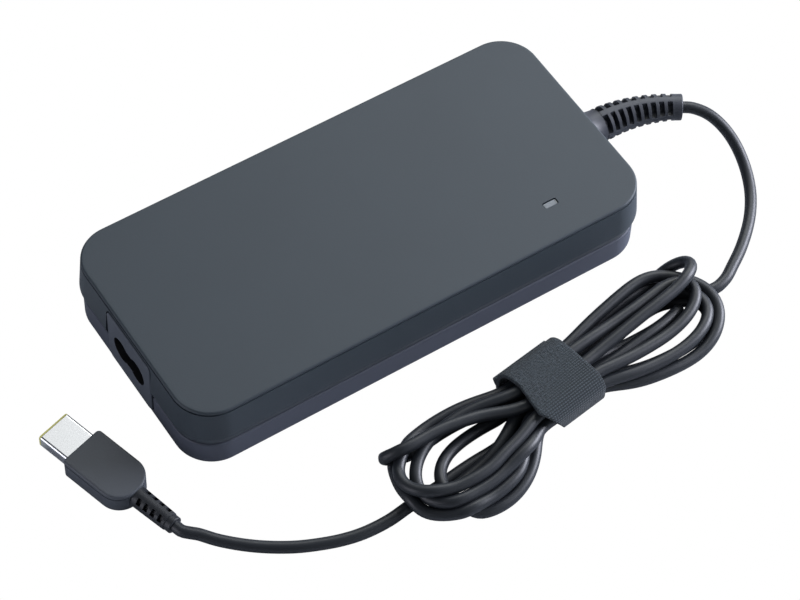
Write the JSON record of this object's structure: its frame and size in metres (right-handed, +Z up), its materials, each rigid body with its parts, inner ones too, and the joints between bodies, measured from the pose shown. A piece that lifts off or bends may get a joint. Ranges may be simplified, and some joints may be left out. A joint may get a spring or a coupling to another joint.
{
  "type": "laptop power adapter",
  "caption": "Slim laptop power adapter with a figure-eight mains inlet, a slotted strain relief and a strapped DC cord that ends in a flat rectangular plug.",
  "frame": {"origin": "middle of the housing's underside, on the surface that it rests on", "axes": "+X from the mains inlet's end to the end where the DC cord leaves, +Y across the housing away from the coiled cord, +Z up"},
  "size_m": [0.2289, 0.128, 0.0254],
  "materials": {
    "housing_plastic": "fine moulded texture",
    "rubber": "matt",
    "cord_jacket": "satin",
    "webbing": "woven hook-and-loop",
    "inlet_plastic": "semi-gloss",
    "nickel_plate": "nickel plated",
    "lens_plastic": "clear to milky",
    "lamp": "satin",
    "board": "solder mask",
    "wire_sleeve": "satin",
    "red_wire": "satin",
    "fuse_body": "matt",
    "blue_ceramic": "dipped coating",
    "green_ceramic": "dipped coating",
    "film_box": "moulded",
    "ferrite": "sintered",
    "green_ferrite": "coated",
    "yellow_powder": "coated",
    "copper": "enamelled copper wire",
    "bobbin_plastic": "matt",
    "chip_plastic": "matt",
    "white_chip": "matt",
    "can": "sleeved",
    "green_can": "sleeved",
    "sheet_metal": "milled",
    "spring_steel": "bright",
    "insulating_film": "translucent film",
    "gap_pad": "soft",
    "steel_tip": "bright plated",
    "yellow_plastic": "satin"
  },
  "bodies": {
    "root": {"top_cover": "housing_plastic", "bottom_case": "housing_plastic", "inlet_socket": "inlet_plastic", "inlet_pins": "nickel_plate", "light_pipe": "lens_plastic", "status_led": "lamp", "circuit_board": "board", "inlet_wires": "wire_sleeve", "fuse": "fuse_body", "varistor": "blue_ceramic", "x_capacitor": "film_box", "common_mode_core": "green_ferrite", "common_mode_windings": "copper", "inrush_thermistor": "green_ceramic", "bridge_rectifier": "chip_plastic", "primary_heat_sink": "sheet_metal", "primary_switches": "chip_plastic", "primary_clips": "spring_steel", "boost_choke_core": "ferrite", "boost_choke_bobbin": "bobbin_plastic", "boost_choke_winding": "copper", "bulk_capacitors": "can", "transformer_core": "ferrite", "transformer_bobbin": "bobbin_plastic", "transformer_winding": "copper", "y_capacitors": "blue_ceramic", "optocoupler": "white_chip", "controller_chip": "chip_plastic", "secondary_heat_sink": "sheet_metal", "secondary_rectifiers": "chip_plastic", "secondary_clips": "spring_steel", "output_capacitors": "green_can", "output_inductor_core": "yellow_powder", "output_inductor_winding": "copper", "output_wires": "red_wire", "lower_spreader": "sheet_metal", "lower_sheet": "insulating_film", "upper_spreader": "sheet_metal", "upper_sheet": "insulating_film", "thermal_pads": "gap_pad", "cord_strain_relief": "rubber", "cord_lead": "cord_jacket", "cord_hank": "cord_jacket", "cord_tail": "cord_jacket", "cord_strap": "webbing", "plug_body": "rubber", "plug_strain_relief": "rubber", "plug_shell": "steel_tip", "plug_liner": "yellow_plastic", "plug_pin": "nickel_plate"}
  },
  "joints": []
}
